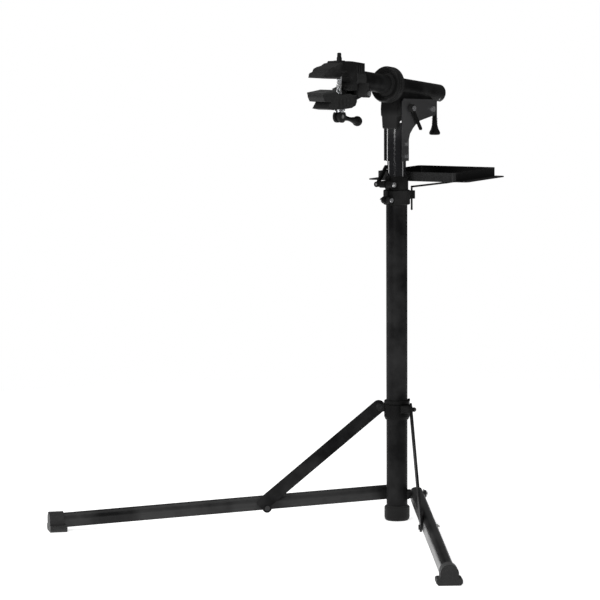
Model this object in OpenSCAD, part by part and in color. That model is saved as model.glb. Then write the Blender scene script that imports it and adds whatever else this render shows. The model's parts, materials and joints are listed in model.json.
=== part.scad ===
// Folding workshop repair stand: two legs, telescopic mast, tool tray and a rotating clamp head.
// The origin is the centre of the mast's foot on the floor. +X points to the front, where the
// legs and the clamp reach out, and +Z points up.

/* [Mast] */
// Outer diameter of the lower mast tube
mast_od = 50; // [42:0.5:60]
// Wall of the lower mast tube
mast_wall = 1.8; // [1.5:0.1:3]
// Height of the top of the lower mast tube
mast_top = 800; // [760:5:960]
// Thickness of the foot cap around the tube
foot_wall = 5; // [4:0.5:6]
// Height of the foot cap
foot_h = 34; // [26:1:42]
// Space between the mast tube and the telescopic tube
guide_room = 1.2; // [1:0.1:1.5]
// Wall of the inner tube
inner_wall = 1.8; // [1.5:0.1:3]
// Length of inner tube inside the mast when it is lowered
inner_below = 676; // [560:1:700]

/* [Legs] */
// Angle between each leg and the front direction
leg_angle = 40; // [35:0.5:48]
// Gap between the mast and a leg's side
leg_gap = 7.5; // [6.5:0.1:9]
// Width of a leg tube
leg_w = 30; // [25:0.5:31]
// Height of a leg tube
leg_h = 32; // [28:0.5:38]
// Wall of a leg tube
leg_wall = 1.8; // [1.4:0.1:3]
// Reach of a leg from its hinge to the end of its tube
leg_reach = 820; // [680:5:990]
// Height of the leg hinges above the floor
hinge_h = 61.5; // [56:0.5:74]
// Downward slope of an open leg, degrees
leg_slope = 2.57; // [2:0.01:3]
// Radius of the leg hinge bolts
hinge_r = 5; // [4:0.1:6]
// Width of a boot's base
boot_w = 57; // [48:1:68]
// Length of a boot's base along the leg
boot_l = 40; // [34:1:50]

/* [Struts] */
// Distance of the struts' lower pivots along the legs
strut_foot_u = 309; // [260:1:370]
// Height of the struts' lower pivots above the floor
strut_foot_h = 35.5; // [33:0.5:44]
// Distance of the struts' upper pivots in front of the mast's surface
strut_lead = 12; // [11:0.5:15]
// Height of the struts' upper pivots above the floor
strut_top_h = 268; // [225:1:320]
// Width of a strut bar
strut_w = 31; // [26:0.5:32]
// Thickness of a strut bar
strut_t = 4.6; // [3.8:0.1:4.8]
// Radius of the strut pivot bolts
strut_bolt_r = 4; // [3:0.1:4.5]
// Thickness of the slider collar
slider_wall = 5.25; // [4.5:0.05:6.3]
// Height of the slider collar
slider_h = 46; // [38:1:56]

/* [Collars] */
// Thickness of the tray collar
tray_collar_wall = 6.5; // [5.5:0.1:7.8]
// Height of the tray collar
tray_collar_h = 34; // [28:1:34]
// Thickness of the height collar around the mast
height_collar_wall = 2.25; // [1.9:0.05:2.7]
// Height of the height collar
height_collar_h = 32; // [27:1:39]
// Length of the height lever's arm
height_lever_l = 52; // [44:1:63]

/* [Tray] */
// Length of the tray's pan
tray_l = 236; // [190:1:284]
// Width of the tray's pan
tray_w = 203; // [169:1:244]
// Depth of the tray's pan
tray_h = 22; // [17:1:27]
// Wall of the tray
tray_wall = 2.5; // [2:0.1:3]
// Width of the flange along each long side
tray_flange = 28; // [23:1:34]
// Distance of the tray's near edge in front of its pin
tray_lap = 15.5; // [12:0.5:18]
// Sideways shift of the tray from its pin
tray_shift = 18; // [14:1:22]
// Turn of the tray about its pin, degrees
tray_yaw = 10; // [0:1:14]
// Diameter of the tray's wire
wire_d = 4.5; // [3.7:0.1:5.4]

/* [Head bracket] */
// Wall of the bracket's sleeve around the inner tube
sleeve_wall = 3.5; // [2.9:0.1:4.2]
// Height of the sleeve
sleeve_h = 88; // [73:1:100]
// Thickness of each side plate
plate_t = 3; // [2.5:0.1:3.6]
// Distance of the head's pivot behind the mast axis
pivot_back = 110; // [98:1:130]
// Distance of the front lock bolt behind the mast axis
lock_back = 18; // [14:1:22]

/* [Head] */
// Height of the head's axis above the top of the sleeve
head_rise = 86.5; // [82:0.5:100]
// Upward tilt of the head towards the front, degrees
head_tilt = 7.5; // [5:0.1:9]
// Outer diameter of the head tube
head_od = 42; // [38:0.5:44]
// Wall of the head tube
head_wall = 2; // [1.6:0.1:3]
// Length of the head tube behind the mast axis
head_rear = 169; // [160:1:200]
// Diameter of the clutch disc and ring
disc_od = 85; // [72:1:98]
// Diameter of the clamp's shaft
shaft_d = 20; // [17:0.5:24]
// Length of the lock handle below the head's rear end
handle_l = 86; // [70:1:88]

/* [Clamp] */
// Outer diameter of the clamp's neck tube
neck_od = 44; // [38:0.5:46]
// Distance of the clamp body's back from the mast axis
clamp_back = 156; // [140:1:180]
// Distance of the jaw hinge from the mast axis
jaw_hinge_x = 145; // [130:1:168]
// Distance of the clamp screw from the mast axis
screw_x = 225; // [215:1:250]
// Diameter of the clamp screw
screw_d = 12; // [10:0.5:13]
// Width of the jaws
jaw_w = 44; // [36:1:53]
// Distance of the jaws' tips from the mast axis
jaw_tip_x = 312; // [300:1:350]
// Length of the crank from its rivet to its ball
crank_l = 70; // [60:1:80]

/* [Hidden] */
$fn = 48;

run_gap = 0.05;      // running clearance between a shaft and its hole, on the radius
seat_gap = 0.1;      // clearance of a collar on its tube, on the radius
side_gap = 0.3;      // clearance between faces that slide past each other
eps = 1;             // how far a cutting tool runs past a face

mast_r = mast_od / 2;
mast_in = mast_r - mast_wall;
inner_r = mast_in - guide_room;
foot_od = mast_od + 2 * foot_wall;
slider_od = mast_od + 2 * slider_wall;
tray_collar_od = mast_od + 2 * tray_collar_wall;
height_collar_od = mast_od + 2 * height_collar_wall;
leg_offset = mast_r + leg_gap + leg_w / 2;
strut_top_u = mast_r + strut_lead;
mast_foot = 4;                       // thickness of the cap's sole under the tube

hinge_lug_n = leg_offset - leg_w / 2 - side_gap;   // outer face of a hinge lug
leg_in_n = leg_offset - leg_w / 2;                 // inner face of a leg
leg_out_n = leg_offset + leg_w / 2;                // outer face of a leg
bolt_head_t = 5;
nut_t = 7;

strut_out_n = leg_in_n - side_gap;
strut_in_n = strut_out_n - strut_t;
boss_n = strut_in_n - side_gap;
strut_du = strut_foot_u - strut_top_u;
strut_dh = strut_top_h - strut_foot_h;
strut_len = sqrt(strut_du * strut_du + strut_dh * strut_dh);
strut_drop = strut_w / 2 - 1.5;                    // lower pivot below the bar's centre line
strut_ang = atan2(strut_dh, strut_du) - asin(strut_drop / strut_len);
strut_run = sqrt(strut_len * strut_len - strut_drop * strut_drop);
slider_top = strut_top_h + 19;

tray_collar_top = mast_top - 16;
height_collar_z = tray_collar_top + 0.5;
height_collar_top = height_collar_z + height_collar_h;
ear_x = tray_collar_od / 2 + 8;                    // tray collar's clamping bolt
skewer_x = height_collar_od / 2 + 12;
skewer_z = height_collar_z + height_collar_h / 2 - 2;
skewer_r = 2.6;
cam_y = 26;                                        // cam pivot beside the height collar

pin_x = tray_collar_od / 2 + 29.5;
socket_top = tray_collar_top - 5;
socket_h = 19;
wire_z = socket_top + 9;
tray_z = wire_z + 14;

sleeve_r = inner_r + sleeve_wall;
sleeve_z = height_collar_top + 36;
sleeve_top = sleeve_z + sleeve_h;
plate_in = max(sleeve_r - 1.7, 22);                // inner face of a side plate
plate_out = plate_in + plate_t;
pivot_z = sleeve_top + 29.5;
lock_z = sleeve_top + 35;
pivot_r = 5;
lock_r = 4;

head_z = sleeve_top + head_rise;
head_r = head_od / 2;
head_in = head_r - head_wall;
disc_r = disc_od / 2;
disc_x = 38;
cheek_out = 17;
cheek_t = 3;
handle_x = 10 - head_rear;
handle_dz = -14;
handle_r = 3;

screw_r = screw_d / 2;
jaw_z = head_z - 11.5;                             // jaw hinge height
mouth_z = head_z + 25;                             // underside of the upper jaw's pad
hinge_pin_r = 4;
washer_t = 3;
washer_top = jaw_z - 34;
collar_z = washer_top - washer_t - side_gap;       // top of the screw's collar
hub_top = collar_z - 3;
hub_z = hub_top - 10;                              // height of the crank's rivet
hub_slot = 4;                                      // half width of the hub's slot

// ---------------------------------------------------------------- helpers

// Places children in a leg's own frame: x along the leg, y outwards from the mast.
module on_leg(side) {
    if (side > 0) rotate([0, 0, leg_angle]) children();
    else mirror([0, 1, 0]) rotate([0, 0, leg_angle]) children();
}

// The same frame, turned down about the hinge so that x runs along the sloping leg.
module along_leg(side) {
    on_leg(side) translate([0, leg_offset, hinge_h]) rotate([0, leg_slope, 0]) children();
}

// Places children in the tilted head's frame, with x along the head's axis.
module on_head() {
    translate([0, 0, head_z]) rotate([0, -head_tilt, 0]) children();
}

// Cylinder along Y between y0 and y1.
module y_rod(r, y0, y1) {
    translate([0, y1, 0]) rotate([90, 0, 0]) cylinder(r = r, h = y1 - y0);
}

// Cylinder along X between x0 and x1.
module x_rod(r, x0, x1) {
    translate([x0, 0, 0]) rotate([0, 90, 0]) cylinder(r = r, h = x1 - x0);
}

// Ring along Z.
module ring(ro, ri, h) {
    difference() {
        cylinder(r = ro, h = h);
        translate([0, 0, -eps]) cylinder(r = ri, h = h + 2 * eps);
    }
}

// Hexagon along Y, across flats af.
module y_hex(af, y0, y1) {
    translate([0, y1, 0]) rotate([90, 0, 0]) cylinder(r = af / sqrt(3), h = y1 - y0, $fn = 6);
}

// Extrudes an X-Z outline over y0 to y1.
module slab(y0, y1) {
    translate([0, y1, 0]) rotate([90, 0, 0]) linear_extrude(y1 - y0) children();
}

// Box between two corners.
module block(a, b) {
    translate(a) cube(b - a);
}

// Outline of a leg tube in its Y-Z section: round on top, flat sides and bottom.
module leg_section(inset) {
    r = leg_w / 2 - inset;
    cz = leg_h / 2 - leg_w / 2;
    translate([0, cz]) circle(r = r);
    translate([-r, inset - leg_h / 2]) square([2 * r, cz + leg_h / 2 - inset]);
}

// Turns a Y-Z section into a bar along X from x0 to x1.
module bar_x(x0, x1) {
    translate([x0, 0, 0]) rotate([90, 0, 90]) linear_extrude(x1 - x0) children();
}

// ---------------------------------------------------------------- mast

module mast_tube() {
    color("#141416") translate([0, 0, mast_foot]) ring(mast_r, mast_in, mast_top - mast_foot);
}

module foot_cap() {
    rim = foot_od / 2;
    color("#1b1b1c") rotate_extrude() polygon([
        [0, 0], [rim - 4, 0], [rim - 1, 3], [rim, 8], [rim, foot_h - 2], [rim - 2, foot_h],
        [mast_r, foot_h], [mast_r, mast_foot], [0, mast_foot]]);
}

module leg_lugs() {
    lug_r = 11;
    color("#151517") for (side = [1, -1]) on_leg(side) difference() {
        translate([0, 0, hinge_h]) union() {
            y_rod(lug_r, 0, hinge_lug_n);
            block([-lug_r, 0, -lug_r], [lug_r, hinge_lug_n - 4, 3]);
        }
        cylinder(r = mast_r, h = 2 * hinge_h);
        translate([0, 0, hinge_h]) y_rod(hinge_r, 0, hinge_lug_n + eps);
    }
}

module leg_hinge_bolts() {
    color("#b8bbc0") for (side = [1, -1]) on_leg(side) translate([0, 0, hinge_h])
        y_rod(hinge_r, mast_r, leg_out_n + side_gap + nut_t + 3);
}

module leg_hinge_nuts() {
    seat = leg_out_n + side_gap;
    color("#2a2b2e") for (side = [1, -1]) on_leg(side) translate([0, 0, hinge_h]) difference() {
        union() {
            y_rod(hinge_r + 6, seat, seat + 2);
            y_hex(2 * hinge_r + 6, seat + 2, seat + nut_t);
        }
        y_rod(hinge_r, seat - eps, seat + nut_t + eps);
    }
}

// ---------------------------------------------------------------- legs

module leg_tube(side) {
    color("#1d1e21") along_leg(side) difference() {
        intersection() {
            bar_x(-leg_h / 2, leg_reach) leg_section(0);
            union() {
                y_rod(leg_h / 2, -leg_w, leg_w);
                block([0, -leg_w, -leg_h], [leg_reach, leg_w, leg_h]);
            }
        }
        bar_x(-leg_h, leg_reach + eps) leg_section(leg_wall);
        y_rod(hinge_r + run_gap, -leg_w, leg_w);
        rotate([0, -leg_slope, 0]) translate([strut_foot_u, 0, strut_foot_h - hinge_h])
            y_rod(strut_bolt_r, -leg_w, leg_w);
    }
}

// Spacer inside the leg that keeps the hinge bolt from crushing the tube.
module leg_bush(side) {
    half = leg_w / 2 - leg_wall;
    color("#c9c7bd") along_leg(side) difference() {
        intersection() {
            y_rod(hinge_r + 3, -half, half);
            bar_x(-leg_h, leg_h) leg_section(leg_wall + run_gap);
        }
        y_rod(hinge_r + run_gap, -half - eps, half + eps);
    }
}

// Stud and domed nut that hold the strut's lower pivot in the leg.
module dome_nut(side) {
    seat = leg_out_n;
    color("#d6d8dc") on_leg(side) translate([strut_foot_u, 0, strut_foot_h]) union() {
        y_rod(strut_bolt_r, leg_in_n, seat + eps);
        y_rod(strut_bolt_r + 4.5, seat, seat + 1.5);
        y_hex(2 * strut_bolt_r + 5, seat + 1.5, seat + 6);
        translate([0, seat + 6, 0]) difference() {
            sphere(r = strut_bolt_r + 1.5);
            block([-20, -20, -20], [20, 0, 20]);
        }
    }
}

module boot(side) {
    half = boot_w / 2;
    inner_end = leg_reach - boot_l + 6;
    color("#161616") on_leg(side) translate([0, leg_offset, 0]) difference() {
        union() {
            bar_x(inner_end + 6, leg_reach + 6) {
                cz = hinge_h - leg_reach * sin(leg_slope) + leg_h / 2 - leg_w / 2;
                translate([0, cz]) circle(r = leg_w / 2 + 5);
                translate([-leg_w / 2 - 5, 2]) square([leg_w + 10, cz - 2]);
            }
            bar_x(inner_end, leg_reach + 6) polygon([
                [-half + 5, 0], [half - 5, 0], [half, 5], [half, 12], [half - 3, 15],
                [3 - half, 15], [-half, 12], [-half, 5]]);
        }
        translate([0, 0, hinge_h]) rotate([0, leg_slope, 0]) bar_x(0, leg_reach) leg_section(0);
    }
}

// ---------------------------------------------------------------- slider and struts

module slider_collar() {
    r = slider_od / 2;
    z0 = slider_top - slider_h;
    boss_r = 9;
    knob_at = 127;
    color("#18181a") difference() {
        union() {
            rotate_extrude() polygon([
                [mast_r - 3, z0], [r - 3, z0], [r, z0 + 7], [r, slider_top - 11],
                [r - 1.5, slider_top - 9.5], [r, slider_top - 8], [r, slider_top - 2],
                [r - 2, slider_top], [mast_r - 3, slider_top]]);
            for (side = [1, -1]) on_leg(side) translate([strut_top_u, 0, strut_top_h]) {
                y_rod(boss_r, 6, boss_n);
                block([-strut_top_u + 12, 6, -boss_r], [0, boss_n, boss_r]);
            }
            rotate([0, 0, knob_at]) translate([r - 2, 0, slider_top - 3]) cylinder(r = 2.8, h = 5.5);
        }
        translate([0, 0, z0 - eps]) cylinder(r = mast_r + seat_gap, h = slider_h + 2 * eps);
        for (side = [1, -1]) on_leg(side) translate([strut_top_u, 0, strut_top_h])
            y_rod(strut_bolt_r, 0, boss_n + eps);
    }
}

// Bolts in the slider's bosses, with a round nut outside each strut.
module strut_pivot_bolts() {
    seat = strut_out_n + side_gap;
    color("#b9bcc1") for (side = [1, -1]) on_leg(side) translate([strut_top_u, 0, strut_top_h]) {
        y_rod(strut_bolt_r, 8, seat + 6);
        y_rod(strut_bolt_r + 3, seat, seat + 1.5);
        translate([0, seat + 5, 0]) sphere(r = strut_bolt_r + 1.5);
    }
}

module strut_bar(side) {
    half = strut_w / 2;
    tip = strut_run + 13;
    lug_r = 11;
    color("#19191b") on_leg(side) translate([strut_top_u, 0, strut_top_h])
    rotate([0, strut_ang, 0]) difference() {
        slab(strut_in_n, strut_out_n) union() {
            circle(r = half);
            polygon([[0, half], [0, -half], [strut_run - 6, -half], [strut_run, -strut_drop - lug_r + 1],
                [tip - 3, -strut_drop], [tip, half - 8], [tip - 14, half]]);
            translate([strut_run, -strut_drop]) circle(r = lug_r);
        }
        y_rod(strut_bolt_r + run_gap, 0, leg_out_n);
        translate([strut_run, 0, -strut_drop]) y_rod(strut_bolt_r, 0, leg_out_n);
    }
}

// Lower pivot bolt: its head and the part of its shank that lie in the strut.
module strut_bolt(side) {
    color("#c4c7cb") on_leg(side) translate([strut_foot_u, 0, strut_foot_h]) {
        y_rod(strut_bolt_r, strut_in_n - 1, strut_out_n);
        y_rod(strut_bolt_r + 2, strut_in_n - 3, strut_in_n);
    }
}

// ---------------------------------------------------------------- collars on the mast

module tray_collar() {
    r = tray_collar_od / 2;
    z0 = tray_collar_top - tray_collar_h;
    bolt_z = z0 + tray_collar_h * 0.36;
    ear_r = 8;
    color("#17171a") difference() {
        union() {
            rotate_extrude() polygon([[mast_r - 3, z0], [r - 1.5, z0], [r, z0 + 1.5],
                [r, tray_collar_top - 1.5], [r - 1.5, tray_collar_top], [mast_r - 3, tray_collar_top]]);
            translate([ear_x, 0, bolt_z]) y_rod(ear_r, -11, 11);
            block([mast_r, -11, bolt_z - ear_r], [ear_x, 11, bolt_z + ear_r]);
            block([-pin_x, -8, socket_top - socket_h], [-mast_r - 1, 8, socket_top]);
            translate([-pin_x, 0, socket_top - socket_h]) cylinder(r = 8, h = socket_h);
        }
        translate([0, 0, z0 - eps]) cylinder(r = mast_r + seat_gap, h = tray_collar_h + 2 * eps);
        block([0, -1.5, z0 - eps], [ear_x + 20, 1.5, tray_collar_top + eps]);
        translate([ear_x, 0, bolt_z]) y_rod(3, -20, 20);
        translate([-pin_x, 0, z0 - 20]) cylinder(r = wire_d / 2 + run_gap, h = 80);
    }
}

module tray_collar_bolt() {
    bolt_z = tray_collar_top - tray_collar_h * 0.64;
    color("#cfd2d6") translate([ear_x, 0, bolt_z]) {
        y_rod(3, -18, 14);
        y_rod(5.2, 11, 15);
        y_hex(10, -16, -11);
    }
}

module height_collar() {
    r = height_collar_od / 2;
    z0 = height_collar_z;
    z1 = height_collar_top;
    ear_r = 8;
    ear_y = cam_y - 7.5;
    color("#17171a") difference() {
        union() {
            rotate_extrude() polygon([[inner_r - 3, z0], [r - 1, z0], [r, z0 + 1], [r, z1 - 3],
                [r - 3, z1], [inner_r - 3, z1]]);
            translate([skewer_x, 0, skewer_z]) y_rod(ear_r, -ear_y, ear_y);
            block([inner_r, -ear_y, skewer_z - ear_r], [skewer_x, ear_y, skewer_z + ear_r]);
        }
        translate([0, 0, z0 - eps]) cylinder(r = mast_r + seat_gap, h = mast_top - z0 + eps);
        translate([0, 0, z0 - eps]) cylinder(r = inner_r + 2 * seat_gap, h = 2 * height_collar_h);
        block([0, -1.5, z0 - eps], [skewer_x + 20, 1.5, z1 + eps]);
        translate([skewer_x, 0, skewer_z]) y_rod(skewer_r, -40, 40);
    }
}

// Skewer through the height collar's ears: trunnion at the cam end, nut at the other.
module height_skewer() {
    ear_y = cam_y - 7.5;
    color("#c8cbd0") translate([skewer_x, 0, skewer_z]) {
        y_rod(skewer_r, -cam_y, ear_y + 6);
        y_rod(6, ear_y, ear_y + 4);
        translate([0, -cam_y, 0]) x_rod(3, -7.5, 7.5);
    }
}

module height_lever() {
    eye = 6.5;
    arm_w = 9;
    color("#101012") translate([skewer_x, -cam_y, skewer_z]) difference() {
        union() {
            x_rod(eye, -7, 7);
            rotate([0, -42, 0]) block([-arm_w / 2, -4, 3], [arm_w / 2, 0.5, height_lever_l]);
            rotate([0, -42, 0]) translate([0, 0, height_lever_l]) y_rod(arm_w / 2, -4, 0.5);
        }
        x_rod(3 + run_gap, -9, 9);
        bar_x(-3.6, 3.6) polygon([[-1, 3.4], [eye + 2, 3.4], [eye + 2, -9], [1.2, -9], [-3, -1.8]]);
    }
}

// ---------------------------------------------------------------- telescopic tube and bracket

guide_h = 40;
guide_lip = 4;
inner_bottom = height_collar_top - inner_below - height_collar_h;

module guide_bush() {
    outer = mast_in - run_gap;
    color("#d8d5c9") translate([0, 0, inner_bottom - side_gap - guide_lip]) difference() {
        cylinder(r = outer, h = guide_h + guide_lip);
        translate([0, 0, guide_lip]) cylinder(r = inner_r + run_gap, h = guide_h + eps);
        translate([0, 0, -eps]) cylinder(r = inner_r - inner_wall - 3, h = guide_lip + 2 * eps);
    }
}

module inner_tube() {
    color("#0c0c0e") difference() {
        translate([0, 0, inner_bottom])
            ring(inner_r, inner_r - inner_wall, sleeve_top - 2 - inner_bottom);
        bracket_bolt_holes(3);
    }
}

module bracket_bolt_holes(r) {
    for (dz = [11, 40]) translate([-2, 0, sleeve_z + dz]) y_rod(r, -60, 60);
}

// One side plate: a strip on the sleeve that widens rearwards under the head tube.
module plate_outline() {
    rear = -pivot_back;
    difference() {
        union() {
            polygon([[14, sleeve_z], [14, pivot_z + 23], [8, pivot_z + 29], [rear - 8, pivot_z + 22],
                [rear - 17, pivot_z + 14], [rear - 17, pivot_z - 6], [rear - 8, pivot_z - 16],
                [rear + 5, pivot_z - 17], [rear + 40, pivot_z - 23], [rear + 60, pivot_z - 27],
                [-30, pivot_z - 41], [-17, pivot_z - 54], [-12, pivot_z - 68], [-12, sleeve_z]]);
        }
        translate([rear, pivot_z]) circle(r = pivot_r);
        translate([-lock_back, lock_z]) circle(r = lock_r);
    }
}

module head_bracket() {
    color("#111113") difference() {
        union() {
            translate([0, 0, sleeve_z]) cylinder(r = sleeve_r, h = sleeve_h);
            slab(plate_in, plate_out) plate_outline();
            slab(-plate_out, -plate_in) plate_outline();
        }
        translate([0, 0, sleeve_z - eps]) cylinder(r = inner_r, h = sleeve_h + 2 * eps);
        bracket_bolt_holes(3);
    }
}

module bracket_bolts() {
    color("#cdd0d4") for (dz = [11, 40]) translate([-2, 0, sleeve_z + dz]) {
        y_rod(3, -plate_out, plate_out);
        y_rod(4.6, plate_out, plate_out + 2.6);
        y_hex(9, -plate_out - 4, -plate_out);
    }
}

module head_pivot_bolt() {
    color("#cdd0d4") translate([-pivot_back, 0, pivot_z]) {
        y_rod(pivot_r, -plate_out, plate_out);
        y_rod(pivot_r + 1.8, plate_out, plate_out + 3.2);
        y_hex(2 * pivot_r + 4, -plate_out - 5, -plate_out);
    }
}

module lock_bolt() {
    color("#cdd0d4") translate([-lock_back, 0, lock_z]) {
        y_rod(lock_r, -plate_out, plate_out + 11);
        y_rod(lock_r + 2.2, plate_out + 9.3, plate_out + 12);
        y_hex(2 * lock_r + 4, -plate_out - 4, -plate_out);
    }
}

// Plain tubes on both bolts that fill the space between the plates and the cheeks.
module pivot_spacers() {
    y0 = cheek_out + side_gap;
    bolts = [[-pivot_back, pivot_z, pivot_r], [-lock_back, lock_z, lock_r]];
    color("#b7b4aa") for (side = [1, -1], at = bolts)
        translate([at[0], side > 0 ? 0 : -y0 - plate_in, at[1]]) difference() {
            y_rod(at[2] + 4, y0, plate_in);
            y_rod(at[2], y0 - eps, plate_in + eps);
        }
}

module lock_lever() {
    y0 = plate_out + side_gap;
    ang = 35;
    arm_l = 60;
    color("#0f0f11") translate([-lock_back, 0, lock_z]) difference() {
        union() {
            y_rod(9.5, y0, y0 + 8.6);
            rotate([0, 180 + ang, 0]) block([-3.6, y0 + 2, 6], [3.6, y0 + 7, arm_l]);
            rotate([0, 180 + ang, 0]) translate([0, 0, arm_l]) y_rod(3.6, y0 + 2, y0 + 7);
        }
        y_rod(lock_r + run_gap, y0 - eps, y0 + 10);
    }
}

// ---------------------------------------------------------------- tilting head

slot_half = 6.4;     // half width of the handle's slot

module head_tube() {
    color("#161618") on_head() difference() {
        x_rod(head_r, -head_rear, disc_x - 0.5);
        x_rod(head_in, -head_rear - eps, disc_x);
        block([-head_rear - eps, -slot_half, -head_od], [handle_x + 12, slot_half, 0]);
        translate([handle_x, 0, handle_dz]) y_rod(handle_r, -head_od, head_od);
    }
}

// Two cheeks welded under the head tube; the rear bolt is their pivot and the front one their lock.
module head_cheeks() {
    rear = -pivot_back;
    low = pivot_z - 13;
    slot_r = lock_r + side_gap;
    color("#131315") difference() {
        for (from = [-cheek_out, cheek_out - cheek_t]) slab(from, from + cheek_t)
            polygon([[10, low], [10, head_z], [rear + 8, head_z - 14], [rear - 13, pivot_z + 20],
                [rear - 13, pivot_z - 4], [rear - 4, low]]);
        on_head() x_rod(head_r, -head_rear, disc_x);
        translate([rear, 0, pivot_z]) y_rod(pivot_r + run_gap, -30, 30);
        translate([-lock_back, 0, lock_z]) y_rod(slot_r, -30, 30);
        translate([-lock_back, 0, lock_z]) slab(-30, 30)
            polygon([[slot_r, 0], [-slot_r, 0], [-slot_r - 5, -40], [slot_r, -40]]);
    }
}

// Casting in front of the mast: a ring for the clutch and a saddle that rests on the sleeve.
module neck_casting() {
    saddle_in = sleeve_r + side_gap;
    front = sleeve_r + 5.5;
    base = sleeve_top - 12;
    wide = plate_in - side_gap;
    color("#151517") difference() {
        union() {
            on_head() rotate([0, 90, 0]) rotate_extrude() polygon([
                [head_r - 1, disc_x - 26], [head_r + 8, disc_x - 26],
                [disc_r - 2, disc_x - 12], [disc_r, disc_x - 10], [disc_r, disc_x - side_gap],
                [head_r - 1, disc_x - side_gap]]);
            intersection() {
                slab(-40, 40) polygon([[15, base], [front - 4, base], [front - 2, base + 3],
                    [front - 1, base + 30], [front, base + 46], [front, base + 76], [15, base + 76]]);
                bar_x(0, front + 10) polygon([[-20, base], [20, base], [21, base + 28], [wide, base + 31],
                    [wide, base + 47], [22, base + 64], [22, base + 76], [-22, base + 76],
                    [-22, base + 64], [-wide, base + 47],
                    [-wide, base + 31], [-21, base + 28]]);
            }
        }
        on_head() x_rod(head_r, -10, disc_x + 10);
        translate([0, 0, base - eps]) cylinder(r = saddle_in, h = sleeve_top - base + 6);
    }
}

module shaft_bushes() {
    color("#d8d5c9") on_head() for (x = [5 - head_rear + 34, disc_x - 26]) translate([x, 0, 0]) difference() {
        x_rod(head_in - run_gap, 0, 25);
        x_rod(shaft_d / 2 + run_gap, -eps, 26);
    }
}

module head_end_cap() {
    color("#131313") on_head() difference() {
        union() {
            x_rod(head_r, -head_rear - 4, -head_rear);
            x_rod(head_in, -head_rear - 0.5, 7 - head_rear);
        }
        x_rod(head_in - 3, -head_rear - 1, 8 - head_rear);
        block([-head_rear - 6, -slot_half, -head_od], [9 - head_rear, slot_half, -2]);
        translate([handle_x, 0, handle_dz]) y_rod(handle_r + 6, -head_od, head_od);
    }
}

module handle_pin() {
    half = sqrt(head_r * head_r - handle_dz * handle_dz) + 0.6;
    color("#cdd0d4") on_head() translate([handle_x, 0, handle_dz]) y_rod(handle_r, -half, half);
}

// Cam handle that squeezes the clutch; it hangs below the head's rear end.
module rotation_handle() {
    color("#101012") on_head() translate([handle_x, 0, handle_dz]) rotate([0, head_tilt, 0]) difference() {
        union() {
            y_rod(7, -6, 6);
            translate([0, 0, -handle_l]) rotate_extrude() polygon([[0, 0], [11, 0], [13, 2], [13, 6],
                [9, 14], [6.5, 24], [5.6, 36], [5.6, handle_l - 4], [0, handle_l - 4]]);
        }
        y_rod(handle_r + run_gap, -10, 10);
    }
}

// ---------------------------------------------------------------- rotating clamp

module neck_tube() {
    r = neck_od / 2;
    color("#1a1a1c") on_head() difference() {
        x_rod(r, disc_x + 12, clamp_back + 1.5);
        x_rod(shaft_d / 2, disc_x, clamp_back + 10);
    }
}

module clutch_disc() {
    r = disc_r;
    x0 = disc_x + side_gap;
    color("#141416") on_head() rotate([0, 90, 0]) rotate_extrude() polygon([
        [shaft_d / 2, x0], [r - 2, x0], [r, x0 + 2], [r, x0 + 6], [r - 3, x0 + 11.7],
        [neck_od / 2 + 6, disc_x + 8], [neck_od / 2 + 1, disc_x + 12], [shaft_d / 2, disc_x + 12]]);
}

module clamp_shaft() {
    color("#aeb1b6") on_head() difference() {
        union() {
            x_rod(shaft_d / 2, handle_x + 14, clamp_back + 1.5);
            x_rod(shaft_d / 2 + 4, handle_x + 14, handle_x + 20);
        }
        x_rod(3, handle_x + 10, handle_x + 40);
    }
}

// Height of the upper jaw's underside.
function jaw_under(x) = mouth_z + 5 + 2 * (x - screw_x - 24) / (jaw_tip_x - screw_x - 24);

// Outline of the fixed clamp body and upper jaw, in world X-Z.
module body_outline() {
    top = head_z + 61;
    tip = jaw_tip_x;
    polygon([[clamp_back, head_z - 3], [clamp_back, top - 3], [screw_x - 22, top + 3], [screw_x - 8, top + 4],
        [screw_x + 14, top + 4], [screw_x + 18, top], [tip - 58, top - 1], [tip - 46, top - 6],
        [tip - 29, top - 8.5], [tip - 18, top - 12], [tip - 13, top - 19], [tip - 4, top - 21],
        [tip, top - 24], [tip, mouth_z + 7], [screw_x + 24, mouth_z + 5], [screw_x + 12, mouth_z + 24],
        [screw_x - 16, mouth_z + 3], [screw_x - 22, mouth_z - 9], [screw_x - 17, mouth_z - 20],
        [screw_x - 1, mouth_z - 24], [screw_x - 6, mouth_z - 28]]);
}

module clamp_body() {
    half = jaw_w / 2;
    lug_r = 9.6;
    ear_in = 9.3;
    color("#17171a") difference() {
        union() {
            slab(-half, half) body_outline();
            on_head() x_rod(neck_od / 2 + 4, clamp_back, clamp_back + 34);
            for (y0 = [-half - 3, ear_in]) translate([jaw_hinge_x, 0, jaw_z]) {
                y_rod(lug_r, y0, y0 + half + 3 - ear_in);
                block([0, y0, -lug_r + 2], [clamp_back - jaw_hinge_x + 26, y0 + half + 3 - ear_in, 24]);
            }
            translate([screw_x, 0, head_z + 40]) cylinder(r = screw_r + 7, h = 26);
        }
        translate([screw_x, 0, mouth_z - 60]) cylinder(r = screw_r + 1.2, h = 200);
        translate([screw_x, 0, head_z + 46]) cylinder(r = screw_r + 4, h = 12);
        translate([screw_x, 0, mouth_z - 32]) block([-11, -10, -2], [13, 10, 28]);
        translate([jaw_hinge_x, 0, jaw_z]) y_rod(hinge_pin_r, -40, 40);
        on_head() x_rod(neck_od / 2, 0, clamp_back + 1.5);
    }
}

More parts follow.
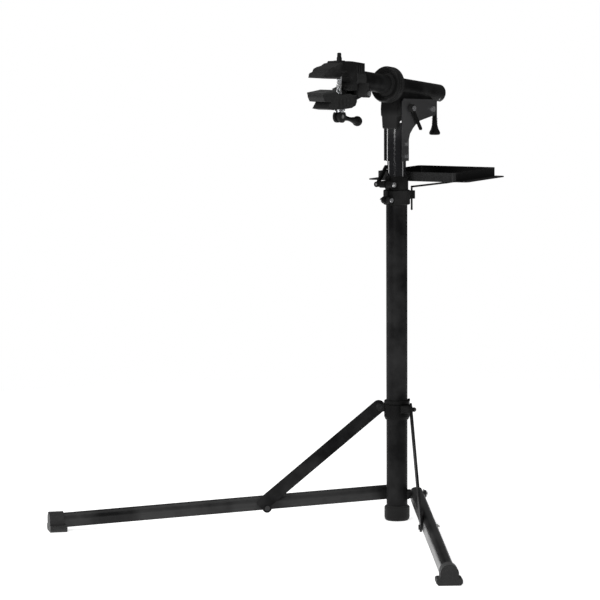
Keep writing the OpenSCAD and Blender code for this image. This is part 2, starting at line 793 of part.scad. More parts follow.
module upper_jaw_pad() {
    half = jaw_w / 2 + 1;
    x0 = screw_x + 26;
    color("#232325") difference() {
        slab(-half, half) polygon([[x0, mouth_z], [jaw_tip_x, mouth_z + 4], [jaw_tip_x, jaw_under(jaw_tip_x)],
            [x0, jaw_under(x0)]]);
        for (i = [0:3]) translate([x0 + 8 + 12 * i, 0, mouth_z - 0.5 + 0.55 * i])
            y_rod(2, -half - eps, half + eps);
    }
}

module jaw_pin() {
    half = jaw_w / 2 + 3;
    color("#cdd0d4") translate([jaw_hinge_x, 0, jaw_z]) {
        y_rod(hinge_pin_r, -half, half);
        y_rod(hinge_pin_r + 1.8, half, half + 2.6);
        y_rod(hinge_pin_r + 1.8, -half - 2.6, -half);
    }
}

// Bronze nut in the top of the clamp body; the screw runs in it.
module screw_nut() {
    color("#a5824a") translate([screw_x, 0, head_z + 46]) ring(screw_r + 4, screw_r + run_gap, 12);
}

module lower_jaw() {
    half = jaw_w / 2;
    tip = jaw_tip_x + 4;
    z = jaw_z;
    color("#17171a") difference() {
        union() {
            slab(-half, half) polygon([[clamp_back + 31, z - 17], [clamp_back + 36, z - 26],
                [screw_x - 18, z - 31], [screw_x + 20, z - 33], [screw_x + 52, z - 33],
                [screw_x + 74, z - 29.5], [tip - 30, z - 15],
                [tip - 7, z - 13], [tip, z - 3], [tip + 1, z + 3.5], [screw_x + 40, z + 8],
                [screw_x + 24, z - 1], [screw_x - 10, z + 2], [screw_x - 22, z - 1],
                [clamp_back + 31, z - 2]]);
            slab(-9, 9) polygon([[jaw_hinge_x, z - 7], [clamp_back + 35, z - 20], [clamp_back + 35, z - 2.5],
                [jaw_hinge_x, z + 6]]);
            translate([jaw_hinge_x, 0, z]) y_rod(7.6, -9, 9);
        }
        translate([jaw_hinge_x, 0, z]) y_rod(hinge_pin_r + run_gap, -20, 20);
        translate([screw_x, 0, z - 60]) block([-11, -screw_r - 1, 0], [11, screw_r + 1, 120]);
    }
}

module lower_jaw_pad() {
    half = jaw_w / 2 + 1;
    x0 = screw_x + 42;
    z = jaw_z;
    tip = jaw_tip_x + 5;
    color("#232325") difference() {
        slab(-half, half) polygon([[x0, z + 7.85], [tip, z + 3.5], [tip, z + 7.6], [x0, z + 12.5]]);
        for (i = [0:3]) translate([x0 + 8 + 12 * i, 0, z + 12.6 - 0.9 * i]) y_rod(2, -half - eps, half + eps);
    }
}

// Washer that carries the lower jaw on the screw's collar.
module thrust_washer() {
    color("#c2c5ca") translate([screw_x, 0, washer_top - washer_t]) difference() {
        cylinder(r = 13, h = washer_t);
        translate([0, 0, -eps]) cylinder(r = screw_r + run_gap, h = washer_t + 2 * eps);
    }
}

module clamp_screw() {
    tip = head_z + 84;
    neck_r = screw_r - 1.2;
    color("#c9ccd0") translate([screw_x, 0, 0]) rotate_extrude() polygon([
        [0, hub_top], [screw_r + 4, hub_top], [screw_r + 4, collar_z],
        [screw_r, collar_z], [screw_r, tip - 12], [neck_r, tip - 9],
        [neck_r, tip - 2], [neck_r - 2, tip], [0, tip]]);
}

// Forked hub under the screw's collar, which holds the crank by a rivet.
module crank_hub() {
    color("#151517") translate([screw_x, 0, hub_z]) difference() {
        intersection() {
            y_rod(14, -9, 9);
            block([-20, -10, -20], [20, 10, hub_top - hub_z]);
        }
        block([-20, -hub_slot, -20], [20, hub_slot, 7.5]);
        y_rod(3, -20, 20);
    }
}

module crank_rivet() {
    color("#cdd0d4") translate([screw_x, 0, hub_z]) {
        y_rod(3, -9, 9);
        y_rod(4.4, 9, 10.4);
        y_rod(4.4, -10.4, -9);
    }
}

module crank_lever() {
    drop = 11;
    color("#111113") translate([screw_x, 0, hub_z]) rotate([0, -drop, 0]) difference() {
        union() {
            y_rod(6.8, -3.7, 3.7);
            rotate([0, -90, 0]) rotate_extrude() polygon([[0, 17], [7, 17], [6, 24], [5, 32], [5, 40],
                [5.4, 46], [7, 53], [8, crank_l - 9], [0, crank_l - 9]]);
            block([-20, -3.7, -6], [-4, 3.7, 6]);
            translate([-crank_l, 0, 0]) sphere(r = 11.8);
        }
        y_rod(3 + run_gap, -20, 20);
    }
}

// ---------------------------------------------------------------- tray

// Places children in the tray's frame: x runs from the pin along the tray.
module on_tray() {
    translate([-pin_x, 0, 0]) rotate([0, 0, 180 + tray_yaw]) children();
}

// A rounded rectangle in plan.
module plan(l, w, r) {
    translate([r, -w / 2]) square([l - 2 * r, w]);
    translate([0, r - w / 2]) square([l, w - 2 * r]);
    for (x = [r, l - r], y = [r - w / 2, w / 2 - r]) translate([x, y]) circle(r = r);
}

module tray_pan() {
    corner = 9;
    color("#131315") on_tray() translate([-tray_lap, -tray_shift, tray_z]) difference() {
        union() {
            linear_extrude(tray_h) plan(tray_l, tray_w, corner);
            translate([6, 0, 0]) linear_extrude(tray_wall)
                plan(tray_l - 12, tray_w + 2 * tray_flange, 12);
        }
        translate([tray_wall, 0, tray_wall]) linear_extrude(tray_h)
            plan(tray_l - 2 * tray_wall, tray_w - 2 * tray_wall, corner - tray_wall);
    }
}

// A straight piece of wire between two points, with round ends.
module wire(a, b) {
    d = b - a;
    l = norm(d);
    translate(a) rotate([0, acos(d[2] / l), atan2(d[1], d[0])]) cylinder(r = wire_d / 2, h = l);
    translate(a) sphere(r = wire_d / 2 + 0.3);
    translate(b) sphere(r = wire_d / 2 + 0.3);
}

// Bent wire: a pin in the collar's socket, an arm to one side and a loop under the tray.
module tray_wire() {
    under = tray_z - wire_d / 2;
    arm = 88;
    near = 6;
    far = tray_l * 0.72;
    path = [[0, 0, socket_top - socket_h - 25], [0, 0, wire_z], [near, -arm, under], [far, -arm, under],
        [far, arm - 2 * tray_shift, under], [near, arm - 2 * tray_shift, under]];
    color("#1a1a1c") on_tray() for (i = [0:len(path) - 2]) wire(path[i], path[i + 1]);
}

// ---------------------------------------------------------------- the parts by name

mast_tube();
foot_cap();
leg_lugs();
leg_hinge_bolts();
leg_hinge_nuts();
leg_tube(-1);  // leg_tube_left
leg_bush(-1);  // leg_bush_left
boot(-1);  // boot_left
dome_nut(-1);  // dome_nut_left
leg_tube(1);  // leg_tube_right
leg_bush(1);  // leg_bush_right
boot(1);  // boot_right
dome_nut(1);  // dome_nut_right
slider_collar();
strut_pivot_bolts();
strut_bar(-1);  // strut_left
strut_bolt(-1);  // strut_bolt_left
strut_bar(1);  // strut_right
strut_bolt(1);  // strut_bolt_right
tray_collar();
tray_collar_bolt();
height_collar();
height_skewer();
height_lever();
guide_bush();
inner_tube();
head_bracket();
bracket_bolts();
head_pivot_bolt();
lock_bolt();
pivot_spacers();
lock_lever();
head_tube();
head_cheeks();
neck_casting();
shaft_bushes();
head_end_cap();
handle_pin();
rotation_handle();
neck_tube();
clutch_disc();
clamp_shaft();
clamp_body();
upper_jaw_pad();
jaw_pin();
screw_nut();
lower_jaw();
lower_jaw_pad();
thrust_washer();
clamp_screw();
crank_hub();
crank_rivet();
crank_lever();
tray_pan();
tray_wire();
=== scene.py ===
"""A folding bicycle repair stand on a plain floor: finishes, fine geometry, light and camera."""
import json
import math

import bmesh
import bpy
from mathutils import Matrix, Vector


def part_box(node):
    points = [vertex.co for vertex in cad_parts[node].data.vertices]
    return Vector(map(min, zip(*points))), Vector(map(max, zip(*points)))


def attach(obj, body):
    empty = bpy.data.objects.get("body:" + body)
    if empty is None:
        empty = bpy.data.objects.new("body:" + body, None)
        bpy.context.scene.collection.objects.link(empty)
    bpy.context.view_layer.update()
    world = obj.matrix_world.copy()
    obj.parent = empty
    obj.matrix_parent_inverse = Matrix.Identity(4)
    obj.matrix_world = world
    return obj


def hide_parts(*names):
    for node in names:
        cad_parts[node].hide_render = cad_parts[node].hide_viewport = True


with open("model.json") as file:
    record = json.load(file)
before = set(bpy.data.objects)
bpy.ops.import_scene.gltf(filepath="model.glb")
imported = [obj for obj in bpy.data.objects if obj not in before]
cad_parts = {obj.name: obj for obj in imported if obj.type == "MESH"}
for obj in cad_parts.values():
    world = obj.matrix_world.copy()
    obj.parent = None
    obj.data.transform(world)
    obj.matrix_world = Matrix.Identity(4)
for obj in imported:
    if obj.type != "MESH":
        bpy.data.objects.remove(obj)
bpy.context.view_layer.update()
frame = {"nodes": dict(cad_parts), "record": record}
MM = 0.001
HEAD_TILT = math.radians(7.5)
LEG_ANGLE = math.radians(40)
TRAY_YAW = math.radians(10)
NODES = frame["nodes"]
SLOT_OF = {part["node"]: part["material_slot"] for part in frame["record"]["subparts"]}


def corners(node):
    """A node's lowest and highest corners as vectors."""
    return tuple(Vector(v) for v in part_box(node))


# ---------------------------------------------------------------- materials

GRAIN_DEPTH = 0.0004
METAL_TINT = (0.8, 0.78, 0.7)
SCUFFED = (0.09, 0.09, 0.09)


def scaled(colour, factor):
    """A colour made lighter or darker."""
    return tuple(factor * c for c in colour)


def new_material(name):
    """An empty node material with its shader, its output and object coordinates."""
    material = bpy.data.materials.new(name)
    material.use_nodes = True
    tree = material.node_tree
    tree.nodes.clear()
    output = tree.nodes.new("ShaderNodeOutputMaterial")
    shader = tree.nodes.new("ShaderNodeBsdfPrincipled")
    coords = tree.nodes.new("ShaderNodeTexCoord")
    tree.links.new(shader.outputs[0], output.inputs[0])
    return material, tree, shader, coords


def noise(tree, coords, scale, detail=4.0, rough=0.55, stretch=(1, 1, 1)):
    """A noise texture in object space, stretched along the axes as asked."""
    mapping = tree.nodes.new("ShaderNodeMapping")
    mapping.inputs["Scale"].default_value = stretch
    texture = tree.nodes.new("ShaderNodeTexNoise")
    texture.inputs["Scale"].default_value = scale
    texture.inputs["Detail"].default_value = detail
    texture.inputs["Roughness"].default_value = rough
    tree.links.new(coords.outputs["Object"], mapping.inputs[0])
    tree.links.new(mapping.outputs[0], texture.inputs["Vector"])
    return texture.outputs["Fac"]


def ramp(tree, value, low, high, start=0.0, end=1.0):
    """value, between low and high, mapped to start and end."""
    node = tree.nodes.new("ShaderNodeMapRange")
    node.inputs["From Min"].default_value = low
    node.inputs["From Max"].default_value = high
    node.inputs["To Min"].default_value = start
    node.inputs["To Max"].default_value = end
    tree.links.new(value, node.inputs["Value"])
    return node.outputs["Result"]


def mix_colour(tree, factor, first, second):
    """A colour between two colours or sockets."""
    node = tree.nodes.new("ShaderNodeMix")
    node.data_type = "RGBA"
    tree.links.new(factor, node.inputs["Factor"])
    for socket, colour in ((node.inputs["A"], first), (node.inputs["B"], second)):
        if isinstance(colour, tuple):
            socket.default_value = (*colour, 1.0)
        else:
            tree.links.new(colour, socket)
    return node.outputs["Result"]


def math_node(tree, operation, first, second):
    """One maths step on a socket and a socket or a number."""
    node = tree.nodes.new("ShaderNodeMath")
    node.operation = operation
    tree.links.new(first, node.inputs[0])
    if isinstance(second, (int, float)):
        node.inputs[1].default_value = second
    else:
        tree.links.new(second, node.inputs[1])
    return node.outputs[0]


def add_bump(tree, shader, height, strength, distance):
    """Bump from a height socket onto the shader's normal."""
    bump = tree.nodes.new("ShaderNodeBump")
    bump.inputs["Strength"].default_value = strength
    bump.inputs["Distance"].default_value = distance
    tree.links.new(height, bump.inputs["Height"])
    tree.links.new(bump.outputs[0], shader.inputs["Normal"])


def edge_wear(tree, low=0.53, high=0.62):
    """A mask that is 1 on sharp convex edges."""
    geometry = tree.nodes.new("ShaderNodeNewGeometry")
    return ramp(tree, geometry.outputs["Pointiness"], low, high)


def coated_metal(name, colour, worn, rough, grain, wear=0.35, gloss=0.05, peel=0.2):
    """Powder coat or lacquer on steel: soft blotches, faint scratches, orange peel and rubbed edges."""
    material, tree, shader, coords = new_material(name)
    blotch = noise(tree, coords, 9.0, 5.0)
    fine = noise(tree, coords, grain, 3.0, 0.6)
    scratch = noise(tree, coords, 60.0, 6.0, 0.7, (1.0, 1.0, 0.06))
    scratched = ramp(tree, scratch, 0.62, 0.72, 0.0, 0.07)
    rubbed = math_node(tree, "MULTIPLY", edge_wear(tree), ramp(tree, blotch, 0.4, 0.6, 0.0, wear))
    base = mix_colour(tree, ramp(tree, blotch, 0.3, 0.7), colour, scaled(colour, 1.35))
    tree.links.new(mix_colour(tree, rubbed, base, worn), shader.inputs["Base Color"])
    spread = ramp(tree, blotch, 0.3, 0.7, rough - 0.04, rough + 0.05)
    tree.links.new(math_node(tree, "ADD", spread, scratched), shader.inputs["Roughness"])
    shader.inputs["Specular IOR Level"].default_value = gloss
    add_bump(tree, shader, fine, peel, GRAIN_DEPTH)
    return material


def bare_metal(name, colour, rough):
    """Plated or brushed metal with fine turning marks, a faint warm tint and specks of grime."""
    material, tree, shader, coords = new_material(name)
    lines = noise(tree, coords, 900.0, 2.0, 0.5, (1.0, 1.0, 0.08))
    cloud = noise(tree, coords, 70.0, 4.0)
    dirt = noise(tree, coords, 240.0, 5.0, 0.7)
    tinted = tuple(a * b for a, b in zip(colour, METAL_TINT))
    base = mix_colour(tree, ramp(tree, cloud, 0.35, 0.7, 0.0, 0.6), colour, tinted)
    grime = ramp(tree, dirt, 0.6, 0.75, 0.0, 0.5)
    tree.links.new(mix_colour(tree, grime, base, scaled(colour, 0.45)), shader.inputs["Base Color"])
    shader.inputs["Metallic"].default_value = 1.0
    tree.links.new(ramp(tree, lines, 0.3, 0.7, rough - 0.06, rough + 0.08), shader.inputs["Roughness"])
    add_bump(tree, shader, lines, 0.12, 0.5 * GRAIN_DEPTH)
    return material


def moulded(name, colour, rough, grain, bump, sheen=0.0):
    """Moulded plastic or rubber: leathery grain, mould flow and scuffed edges."""
    material, tree, shader, coords = new_material(name)
    cells = tree.nodes.new("ShaderNodeTexVoronoi")
    cells.inputs["Scale"].default_value = grain
    tree.links.new(coords.outputs["Object"], cells.inputs["Vector"])
    flow = noise(tree, coords, 14.0, 5.0, 0.6)
    fine = noise(tree, coords, grain * 1.7, 3.0)
    height = math_node(tree, "ADD", cells.outputs["Distance"], fine)
    base = mix_colour(tree, ramp(tree, flow, 0.3, 0.7), colour, scaled(colour, 1.5))
    scuffed = math_node(tree, "MULTIPLY", edge_wear(tree), ramp(tree, fine, 0.35, 0.65, 0.0, 0.4))
    tree.links.new(mix_colour(tree, scuffed, base, SCUFFED), shader.inputs["Base Color"])
    tree.links.new(ramp(tree, flow, 0.3, 0.7, rough - 0.06, rough + 0.06), shader.inputs["Roughness"])
    shader.inputs["Specular IOR Level"].default_value = 0.1
    shader.inputs["Sheen Weight"].default_value = sheen
    add_bump(tree, shader, height, bump, GRAIN_DEPTH)
    return material


def floor_material():
    """Pale paper with a very faint tooth, which glows so that its far edge stays white."""
    material, tree, shader, coords = new_material("floor_paper")
    tooth = noise(tree, coords, 420.0, 3.0)
    cloud = noise(tree, coords, 1.3, 3.0)
    paper = mix_colour(tree, cloud, (0.93, 0.93, 0.93), (0.97, 0.97, 0.97))
    tree.links.new(paper, shader.inputs["Base Color"])
    shader.inputs["Roughness"].default_value = 0.9
    shader.inputs["Specular IOR Level"].default_value = 0.1
    shader.inputs["Emission Color"].default_value = (1.0, 1.0, 1.0, 1.0)
    shader.inputs["Emission Strength"].default_value = 0.7
    add_bump(tree, shader, tooth, 0.05, 0.0003)
    return material


def bracket_lacquer():
    """The bracket: bright lacquer on the round sleeve, satin on the two flat plates beside it."""
    material = coated_metal("bracket_lacquer", (0.005, 0.005, 0.006), (0.06, 0.06, 0.06), 0.12, 500.0,
                            wear=0.2, gloss=0.9, peel=0.03)
    tree = material.node_tree
    shader = next(n for n in tree.nodes if n.type == "BSDF_PRINCIPLED")
    coords = next(n for n in tree.nodes if n.type == "TEX_COORD")
    split = tree.nodes.new("ShaderNodeSeparateXYZ")
    tree.links.new(coords.outputs["Object"], split.inputs[0])
    away = math_node(tree, "ABSOLUTE", split.outputs["Y"], 0.0)
    plate_in = corners("head_bracket")[1].y - 3 * MM
    on_plate = ramp(tree, away, plate_in - 0.5 * MM, plate_in + 1.2 * MM, 0.0, 0.36)
    rough = shader.inputs["Roughness"].links[0].from_socket
    tree.links.new(math_node(tree, "ADD", rough, on_plate), shader.inputs["Roughness"])
    return material


FINISHES = {
    "powder_black": coated_metal("powder_coat", (0.005, 0.005, 0.0052), (0.05, 0.05, 0.05), 0.4, 1400.0),
    "gloss_black": bracket_lacquer(),
    "leg_black": coated_metal("leg_coat", (0.005, 0.005, 0.0052), (0.07, 0.07, 0.07), 0.3, 1000.0,
                              gloss=0.2, peel=0.1),
    "cast_black": coated_metal("cast_coat", (0.006, 0.006, 0.006), (0.06, 0.06, 0.06), 0.46, 700.0),
    "plastic_black": moulded("grained_plastic", (0.005, 0.005, 0.005), 0.44, 900.0, 0.22),
    "tray_black": moulded("tray_plastic", (0.005, 0.005, 0.0052), 0.36, 1100.0, 0.14),
    "rubber_black": moulded("rubber", (0.007, 0.007, 0.007), 0.62, 700.0, 0.30, 0.1),
    "zinc": bare_metal("zinc_plate", (0.70, 0.71, 0.74), 0.26),
    "chromed": bare_metal("polished_nut", (0.84, 0.84, 0.86), 0.14),
    "dark_steel": bare_metal("blackened_steel", (0.05, 0.05, 0.052), 0.38),
    "nylon": moulded("nylon", (0.50, 0.48, 0.43), 0.42, 500.0, 0.10),
    "bronze": bare_metal("bronze", (0.60, 0.44, 0.24), 0.32),
}


def paint(obj, slot_name):
    """Gives an object the finish of a record slot, alone in its only slot."""
    obj.data.materials.clear()
    obj.data.materials.append(FINISHES[slot_name])


# ---------------------------------------------------------------- mesh helpers

ON_AXIS = 1e-9


def add_object(name, mesh):
    """An object for a mesh, linked into the scene."""
    obj = bpy.data.objects.new(name, mesh)
    bpy.context.scene.collection.objects.link(obj)
    return obj


def piece(name, bm, body, slot_name, smooth_deg=35.0):
    """Turns a bmesh into a piece that rides on a body and takes a slot's finish."""
    bmesh.ops.recalc_face_normals(bm, faces=bm.faces)
    mesh = bpy.data.meshes.new(name)
    bm.to_mesh(mesh)
    bm.free()
    obj = add_object(name, mesh)
    paint(obj, slot_name)
    mesh.shade_smooth()
    mesh.set_sharp_from_angle(angle=math.radians(smooth_deg))
    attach(obj, body)
    return obj


def lathe(bm, profile, matrix, steps=48):
    """A closed solid of revolution about Z from (radius, z) points, ends on the axis."""
    rings = []
    for radius, z in profile:
        if radius < ON_AXIS:
            rings.append([bm.verts.new(matrix @ Vector((0, 0, z)))])
        else:
            rings.append([bm.verts.new(matrix @ Vector((radius * math.cos(a), radius * math.sin(a), z)))
                          for a in (2 * math.pi * i / steps for i in range(steps))])
    for low, high in zip(rings, rings[1:]):
        for i in range(steps):
            j = (i + 1) % steps
            quad = [low[i % len(low)], low[j % len(low)], high[j % len(high)], high[i % len(high)]]
            unique = list(dict.fromkeys(quad))
            if len(unique) > 2:
                bm.faces.new(unique)


def along(direction, at):
    """A matrix that takes Z to a direction and the origin to a point."""
    return Matrix.Translation(at) @ Vector(direction).to_track_quat("Z", "Y").to_matrix().to_4x4()


def ring_band(bm, inner, outer, z0, z1, matrix, steps=64, chamfer=0.0004):
    """A closed ring with chamfered outer edges."""
    profile = [(inner, z0), (outer - chamfer, z0), (outer, z0 + chamfer), (outer, z1 - chamfer),
               (outer - chamfer, z1), (inner, z1)]
    loops = [[bm.verts.new(matrix @ Vector((r * math.cos(a), r * math.sin(a), z)))
              for a in (2 * math.pi * i / steps for i in range(steps))] for r, z in profile]
    for k, low in enumerate(loops):
        high = loops[(k + 1) % len(loops)]
        for i in range(steps):
            j = (i + 1) % steps
            bm.faces.new((low[i], low[j], high[j], high[i]))


def rounded_box(bm, size, matrix, bevel):
    """A box with bevelled edges, centred on the matrix."""
    made = bmesh.ops.create_cube(bm, size=1.0, matrix=matrix @ Matrix.Diagonal((*size, 1.0)))
    edges = {edge for vert in made["verts"] for edge in vert.link_edges}
    bmesh.ops.bevel(bm, geom=list(edges), offset=bevel, segments=2, affect="EDGES", profile=0.5)


def threaded_rod(bm, radius, depth, pitch, z0, z1, matrix, steps=40, per_pitch=10):
    """A rod whose radius follows a screw thread between z0 and z1, closed at both ends."""
    rows = int((z1 - z0) / pitch * per_pitch)
    half_groove = 0.32
    rings = []
    for k in range(rows + 1):
        z = z0 + (z1 - z0) * k / rows
        fade = min(1.0, (z - z0) / pitch, (z1 - z) / pitch)
        ring_verts = []
        for i in range(steps):
            angle = 2 * math.pi * i / steps
            phase = (z / pitch - i / steps) % 1.0
            groove = max(0.0, 1.0 - abs(phase - 0.5) / half_groove)
            r = radius - depth * groove * fade
            ring_verts.append(bm.verts.new(matrix @ Vector((r * math.cos(angle), r * math.sin(angle), z))))
        rings.append(ring_verts)
    for low, high in zip(rings, rings[1:]):
        for i in range(steps):
            j = (i + 1) % steps
            bm.faces.new((low[i], low[j], high[j], high[i]))
    bm.faces.new(rings[0][::-1])
    bm.faces.new(rings[-1])


# ---------------------------------------------------------------- CAD nodes: finish and soft edges

# Bevel widths in millimetres, where they differ from the default
BEVEL = {"foot_cap": 0.8, "boot_left": 1.6, "boot_right": 1.6, "clamp_body": 1.0, "lower_jaw": 1.0,
         "neck_casting": 1.2, "tray_pan": 0.6, "leg_tube_left": 0.3, "leg_tube_right": 0.3,
         "head_bracket": 0.5, "slider_collar": 0.6, "tray_collar": 0.7, "height_collar": 0.7,
         "clutch_disc": 0.8, "rotation_handle": 0.5, "height_lever": 0.8, "lock_lever": 0.9,
         "strut_left": 0.5, "strut_right": 0.5, "crank_lever": 0.5, "crank_hub": 0.6}
DEFAULT_BEVEL = 0.3
# The struts' lower bolts are darker than their record slot
DARK_BOLTS = {"strut_bolt_left": "dark_steel", "strut_bolt_right": "dark_steel"}


def finish_cad_nodes():
    """Each CAD node gets its finish, a small bevel on its sharp edges and smooth shading."""
    for name, obj in NODES.items():
        paint(obj, DARK_BOLTS.get(name, SLOT_OF[name]))
        bevel = obj.modifiers.new("soft_edges", "BEVEL")
        bevel.width = BEVEL.get(name, DEFAULT_BEVEL) * MM
        bevel.segments = 2
        bevel.limit_method = "ANGLE"
        bevel.angle_limit = math.radians(32)
        bevel.harden_normals = True
        bevel.use_clamp_overlap = True
        obj.modifiers.new("even_shading", "WEIGHTED_NORMAL").keep_sharp = True


# ---------------------------------------------------------------- finer pieces

RIB_EDGE = 0.5 * MM


def clamp_screw():
    """The clamp's screw, with its collar and a real thread, and a dark cap at its top end."""
    low, high = corners("clamp_screw")
    collar_r = (high.x - low.x) / 2
    collar_top = low.z + 3 * MM
    edge = 0.4 * MM
    screw_r = collar_r - 4 * MM
    thread_depth, thread_pitch = 0.75 * MM, 3 * MM
    cap_low = high.z - 26 * MM
    cap_lap = 0.5 * MM
    base = Matrix.Translation(((low.x + high.x) / 2, 0, 0))
    bm = bmesh.new()
    lathe(bm, [(0, low.z), (collar_r - edge, low.z), (collar_r, low.z + edge),
               (collar_r, collar_top - edge), (collar_r - edge, collar_top), (0, collar_top)], base)
    threaded_rod(bm, screw_r, thread_depth, thread_pitch, collar_top, cap_low + cap_lap, base)
    obj = piece("clamp_screw_threaded", bm, "screw", "zinc")
    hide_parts("clamp_screw")
    neck = screw_r - 1.2 * MM
    bm = bmesh.new()
    lathe(bm, [(0, cap_low), (screw_r, cap_low), (screw_r, high.z - 12 * MM), (neck, high.z - 9 * MM),
               (neck, high.z - 2 * MM), (neck - 0.8 * MM, high.z - 0.7 * MM), (neck - 2 * MM, high.z),
               (0, high.z)], base)
    piece("clamp_screw_tip_cap", bm, "screw", "plastic_black")


def rotation_handle_grip():
    """Moulded bands around the handle's waist."""
    low, high = corners("rotation_handle")
    axis = Matrix.Translation(((low.x + high.x) / 2, 0, 0))
    inner, outer, band = 5.0 * MM, 7.0 * MM, 1.8 * MM
    bm = bmesh.new()
    for height in (26, 30, 34, 38):
        start = low.z + height * MM
        ring_band(bm, inner, outer, start, start + band, axis, 40)
    piece("handle_grip_bands", bm, "cam_handle", "plastic_black")


def bolt_caps():
    """A thin hexagonal cap on the +Y end of the head's pivot bolt and of its lock bolt."""
    cap_t = 0.4 * MM
    for name, node, radius in (("pivot_bolt_cap", "head_pivot_bolt", 4.6 * MM),
                               ("lock_bolt_cap", "lock_bolt", 3.6 * MM)):
        low, high = corners(node)
        at = Vector(((low.x + high.x) / 2, high.y - cap_t, (low.z + high.z) / 2))
        bm = bmesh.new()
        lathe(bm, [(0, 0), (radius, 0), (radius, 0.3 * MM), (radius * 0.8, 0.38 * MM), (0, cap_t)],
              along((0, 1, 0), at), 6)
        piece(name, bm, "upper", "chromed")


def mast_seams():
    """A rubber lip on top of the foot cap and a trim ring under the tray's collar."""
    tube_low, tube_high = corners("mast_tube")
    mast_r = (tube_high.x - tube_low.x) / 2
    ring_h = 1.2 * MM
    cap_top = corners("foot_cap")[1].z
    collar_low = corners("tray_collar")[0].z
    for name, z, grow, slot in (("foot_cap_lip", cap_top, 2.2 * MM, "rubber_black"),
                                ("tray_collar_lip", collar_low - ring_h, 1.6 * MM, "powder_black")):
        bm = bmesh.new()
        ring_band(bm, mast_r - 0.2 * MM, mast_r + grow, z, z + ring_h, Matrix.Identity(4), 96)
        piece(name, bm, "mast", slot)


def boot_treads():
    """Cross ribs on the top of each boot's base, along both of its edges."""
    rib = (3 * MM, 4.2 * MM, 1.6 * MM)
    rib_step, rib_out, rib_z = 6.5 * MM, 24.6 * MM, 14.6 * MM
    for side, sign in (("right", 1), ("left", -1)):
        yaw = LEG_ANGLE * sign
        outward = Vector((math.cos(yaw), math.sin(yaw), 0))
        across = Vector((-math.sin(yaw), math.cos(yaw), 0)) * sign
        low, high = corners("boot_" + side)
        bm = bmesh.new()
        for k in range(5):
            for edge in (-1, 1):
                at = (low + high) / 2 + outward * (k - 2) * rib_step + across * edge * rib_out
                at.z = rib_z
                rounded_box(bm, rib, Matrix.Translation(at) @ Matrix.Rotation(yaw, 4, "Z"), RIB_EDGE)
        piece("boot_ribs_" + side, bm, side + "_leg", "rubber_black")


def clamp_ribs():
    """Four upright ribs and one long rib on both flanks of the clamp's body."""
    low, high = corners("clamp_body")
    upright, long_rib = (3 * MM, 1.4 * MM, 40 * MM), (44 * MM, 1.2 * MM, 5 * MM)
    first_x, step = low.x + 24 * MM, 9 * MM
    bm = bmesh.new()
    for side in (-1, 1):
        for k in range(4):
            at = (first_x + k * step, side * 22.3 * MM, high.z - 32 * MM)
            rounded_box(bm, upright, Matrix.Translation(at), RIB_EDGE)
        at = (first_x + 88 * MM, side * 22.2 * MM, high.z - 24 * MM)
        rounded_box(bm, long_rib, Matrix.Translation(at), RIB_EDGE)
    piece("clamp_flank_ribs", bm, "clamp", "plastic_black")


def lower_jaw_ribs():
    """Ribs along the lower jaw's flanks, a little lower towards the tip."""
    low = corners("lower_jaw")[0]
    rib = (2.6 * MM, 1.2 * MM, 18 * MM)
    first_x, first_z = low.x + 62 * MM, low.z + 17 * MM
    step, drop = 14 * MM, 0.4 * MM
    bm = bmesh.new()
    for side in (-1, 1):
        for k in range(5):
            at = (first_x + k * step, side * 22.2 * MM, first_z - k * drop)
            rounded_box(bm, rib, Matrix.Translation(at), RIB_EDGE)
    piece("lower_jaw_ribs", bm, "jaw", "plastic_black")


def disc_grip():
    """Shallow lands around the clutch disc's rim."""
    low, high = corners("clutch_disc")
    axis = Vector((math.cos(HEAD_TILT), 0, math.sin(HEAD_TILT)))
    centre = Vector(((low.x + high.x) / 2, 0, (low.z + high.z) / 2)) - axis * 2.6 * MM
    land, land_edge, out = (1.0 * MM, 3.2 * MM, 4.6 * MM), 0.35 * MM, 42.2 * MM
    count = 36
    bm = bmesh.new()
    for k in range(count):
        turn = Matrix.Rotation(2 * math.pi * k / count, 4, "Z")
        place = along(axis, centre) @ turn @ Matrix.Translation((out, 0, 0))
        rounded_box(bm, land, place, land_edge)
    piece("disc_grip_lands", bm, "clamp", "plastic_black")


def tray_place(z):
    """A matrix at the tray's middle and a height, turned with the tray."""
    low, high = corners("tray_pan")
    mid = (low + high) / 2
    return Matrix.Translation((mid.x, mid.y, z)) @ Matrix.Rotation(TRAY_YAW, 4, "Z")


def tray_lip():
    """A rolled lip around the tray's top edge, flush with its walls: the path runs 0.7 mm inside them."""
    half_l, half_w, corner_r = 117.31 * MM, 100.81 * MM, 9 * MM
    per_corner = 6
    path = []
    for cx, cy, start in ((1, 1, 0), (-1, 1, 90), (-1, -1, 180), (1, -1, 270)):
        for k in range(per_corner + 1):
            a = math.radians(start + 90 / per_corner * k)
            path.append(Vector((cx * (half_l - corner_r) + corner_r * math.cos(a),
                                cy * (half_w - corner_r) + corner_r * math.sin(a), 0)))
    place = tray_place(corners("tray_pan")[1].z - 1.3 * MM)
    section = [(0.0, 1.3), (-2.6, 1.3), (-3.2, 0.8), (-3.2, -0.8),
               (-2.6, -1.4), (0.0, -1.4), (0.7, -0.8), (0.7, 0.8)]
    bm = bmesh.new()
    loops = []
    for k, point in enumerate(path):
        tangent = (path[(k + 1) % len(path)] - path[k - 1]).normalized()
        outward = Vector((tangent.y, -tangent.x, 0))
        loops.append([bm.verts.new(place @ (point + outward * dx * MM + Vector((0, 0, dz * MM))))
                      for dx, dz in section])
    for k, first in enumerate(loops):
        second = loops[(k + 1) % len(loops)]
        for i in range(len(section)):
            j = (i + 1) % len(section)
            bm.faces.new((first[i], first[j], second[j], second[i]))
    piece("tray_rolled_lip", bm, "tray", "tray_black", 50)


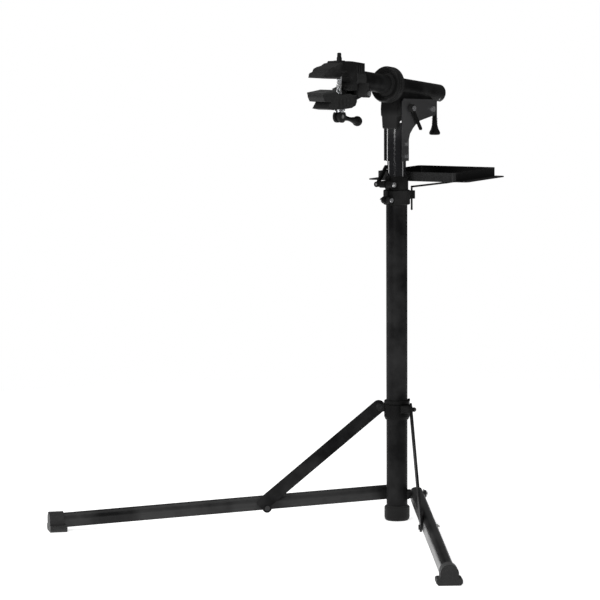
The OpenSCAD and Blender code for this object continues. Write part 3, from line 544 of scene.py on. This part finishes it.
def tray_ribs():
    """Ribs along the tray's floor."""
    rib, rib_edge, step = (196 * MM, 2.4 * MM, 1.0 * MM), 0.3 * MM, 24 * MM
    floor_top = corners("tray_pan")[0].z + 2.5 * MM
    place = tray_place(floor_top + 0.3 * MM)
    bm = bmesh.new()
    for k in range(-3, 4):
        rounded_box(bm, rib, place @ Matrix.Translation((0, k * step, 0)), rib_edge)
    piece("tray_floor_ribs", bm, "tray", "tray_black")


# ---------------------------------------------------------------- stage, light and camera

def make_floor():
    """A round sheet of pale paper just under the stand."""
    bm = bmesh.new()
    bmesh.ops.create_circle(bm, cap_ends=True, radius=2.6, segments=96)
    mesh = bpy.data.meshes.new("floor")
    bm.to_mesh(mesh)
    bm.free()
    floor = add_object("floor", mesh)
    floor.data.materials.append(floor_material())
    floor.location.z = -0.4 * MM


def area_light(name, at, target, width, height, power):
    """A rectangular soft box that faces a point."""
    light = bpy.data.lights.new(name, "AREA")
    light.shape = "RECTANGLE"
    light.size = width
    light.size_y = height
    light.energy = power
    obj = bpy.data.objects.new(name, light)
    bpy.context.scene.collection.objects.link(obj)
    obj.location = at
    obj.rotation_euler = (target - at).to_track_quat("-Z", "Y").to_euler()


def make_lights(right, towards):
    """Soft boxes in front on the left, to the right, behind on the left and overhead.

    The camera sees the surround white, and it lights the stand at a tenth of that.
    """
    up = Vector((0, 0, 1))
    mid = Vector((0.1, 0.1, 0.6))
    area_light("key_box", mid + towards * 3.0 - right * 1.4 + up * 1.3, mid, 0.9, 2.4, 74)
    area_light("fill_box", mid + towards * 0.5 + right * 2.7 + up * 0.9, mid, 0.4, 2.2, 10)
    area_light("edge_box", mid - towards * 1.4 - right * 2.4 + up * 0.9, mid, 0.5, 2.2, 22)
    area_light("top_box", mid + up * 3.0, mid, 3.0, 3.0, 36)
    world = bpy.data.worlds.new("surround")
    world.use_nodes = True
    tree = world.node_tree
    background = tree.nodes["Background"]
    background.inputs["Color"].default_value = (1.0, 1.0, 1.0, 1.0)
    path = tree.nodes.new("ShaderNodeLightPath")
    strength = ramp(tree, path.outputs["Is Camera Ray"], 0.0, 1.0, 0.1, 1.0)
    tree.links.new(strength, background.inputs["Strength"])
    bpy.context.scene.world = world
    bpy.context.scene.view_settings.view_transform = "Standard"


def make_camera():
    """The camera stands far off on the +X and +Y side, a little above the stand, slightly rolled."""
    azimuth, pitch, roll = math.radians(127.243), math.radians(6.0), math.radians(-0.2395)
    ahead = Vector((-math.sin(azimuth), math.cos(azimuth), 0))
    right = Vector((math.cos(azimuth), math.sin(azimuth), 0))
    up = Vector((0, 0, 1))
    place = -7.6442 * ahead - 0.2281 * right + 1.3283 * up
    look = ahead * math.cos(pitch) - up * math.sin(pitch)
    level_top = up * math.cos(pitch) + ahead * math.sin(pitch)
    side = right * math.cos(roll) + level_top * math.sin(roll)
    top = level_top * math.cos(roll) - right * math.sin(roll)
    data = bpy.data.cameras.new("photo_camera")
    data.sensor_width = 36.0
    data.lens = 195.73
    camera = bpy.data.objects.new("photo_camera", data)
    bpy.context.scene.collection.objects.link(camera)
    rotation = Matrix((side, top, -look)).transposed()
    camera.matrix_world = Matrix.Translation(place) @ rotation.to_4x4()
    bpy.context.scene.camera = camera
    return right, -ahead


finish_cad_nodes()
clamp_screw()
rotation_handle_grip()
bolt_caps()
mast_seams()
boot_treads()
clamp_ribs()
lower_jaw_ribs()
disc_grip()
tray_lip()
tray_ribs()
make_floor()
view_right, view_towards = make_camera()
make_lights(view_right, view_towards)
